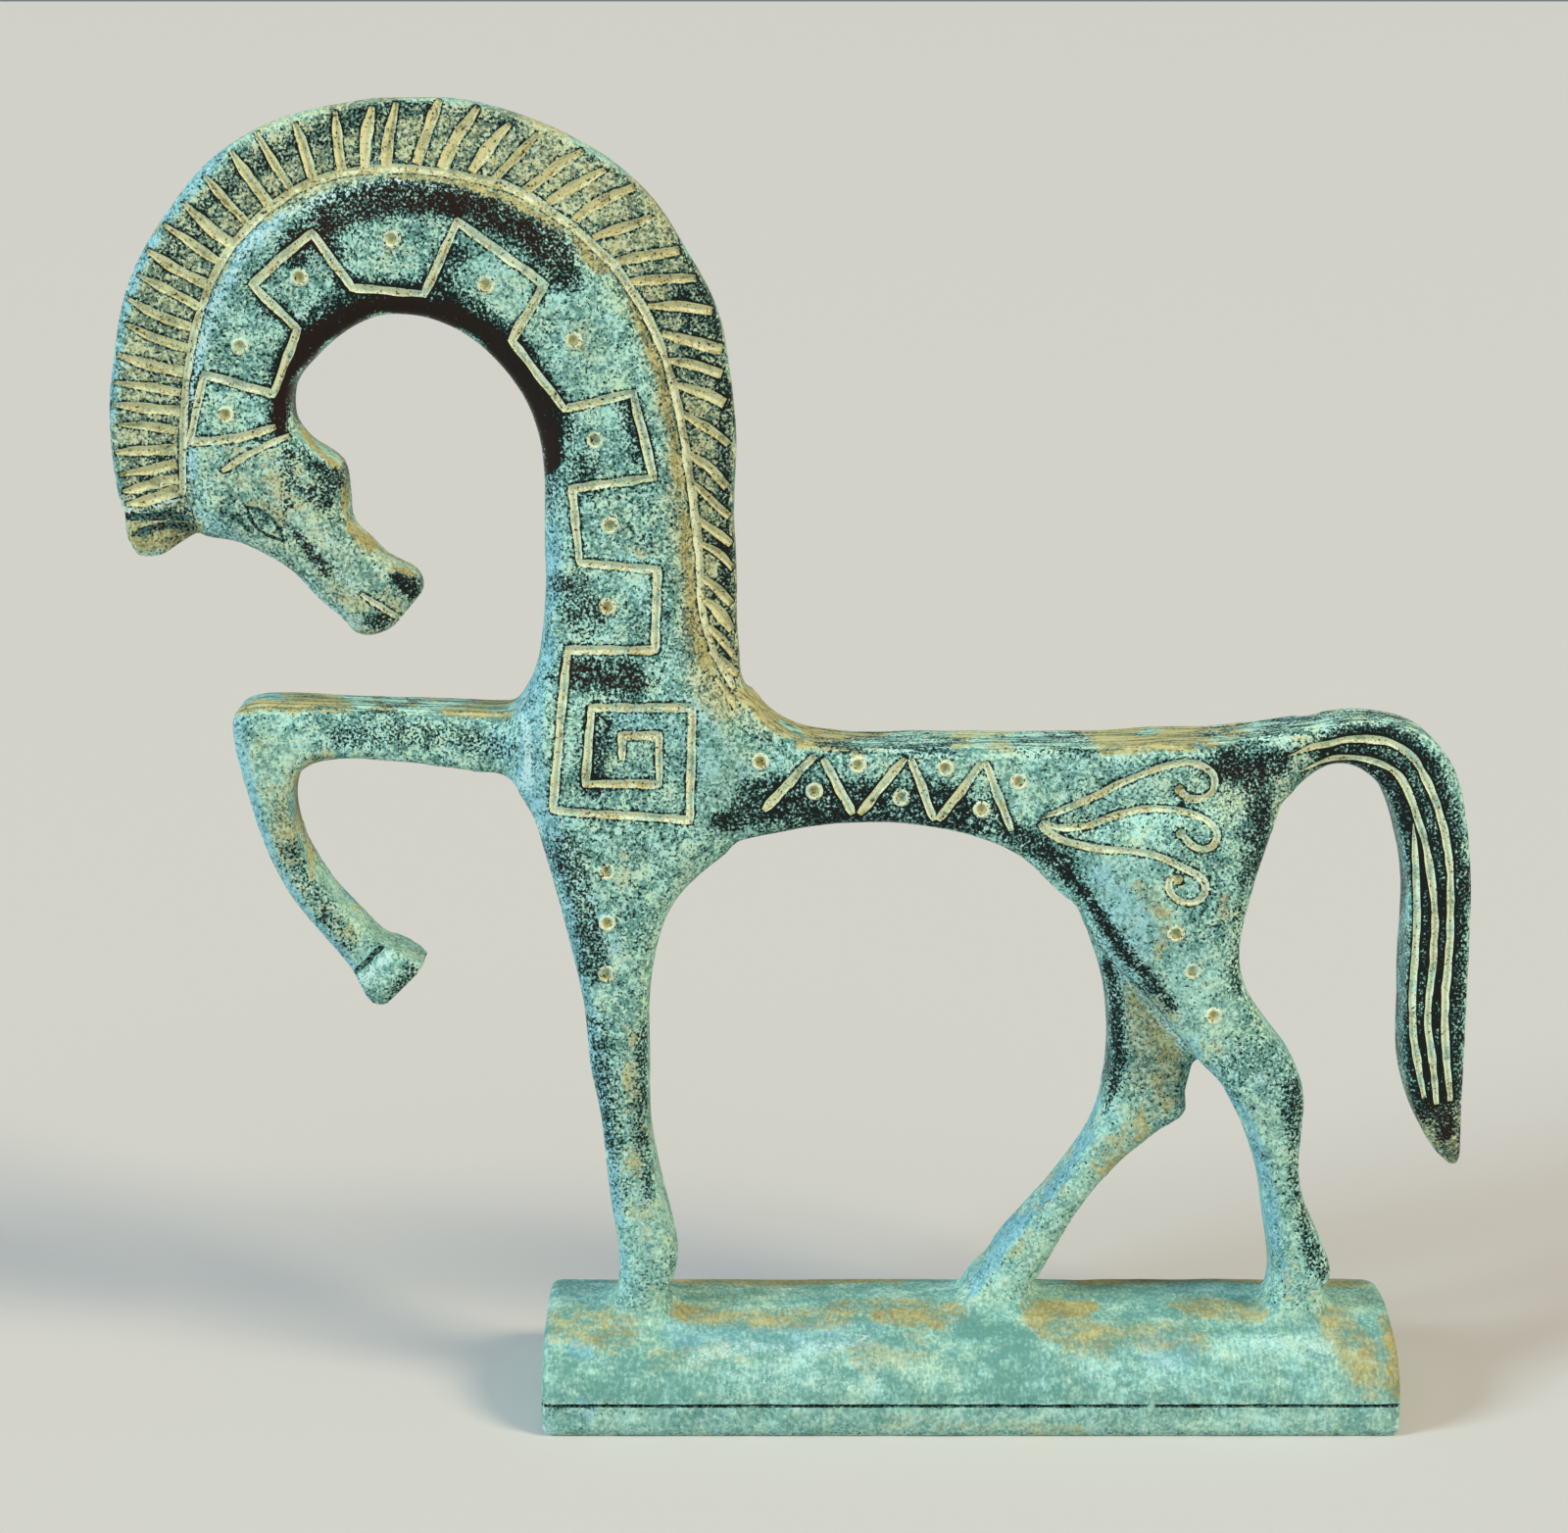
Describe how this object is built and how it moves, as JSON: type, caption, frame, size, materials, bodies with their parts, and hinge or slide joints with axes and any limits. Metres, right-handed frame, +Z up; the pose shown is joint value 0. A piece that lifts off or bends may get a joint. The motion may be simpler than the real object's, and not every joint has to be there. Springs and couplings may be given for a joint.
{
  "type": "bronze horse sculpture",
  "caption": "Stylised standing horse with an arched neck, crescent mane and a raised foreleg, cast in one piece with a low arched plinth it stands on.",
  "frame": {"origin": "middle of the plinth's flat underside", "axes": "+Z up, +X from the horse's head towards its tail, -Y out of the decorated show side"},
  "size_m": [0.2037, 0.038, 0.1998],
  "materials": {
    "verdigris_bronze": "cast bronze under a stippled pale green patina, rubbed dark on the bare edges"
  },
  "bodies": {
    "root": {"horse_on_plinth": "verdigris_bronze"}
  },
  "joints": []
}
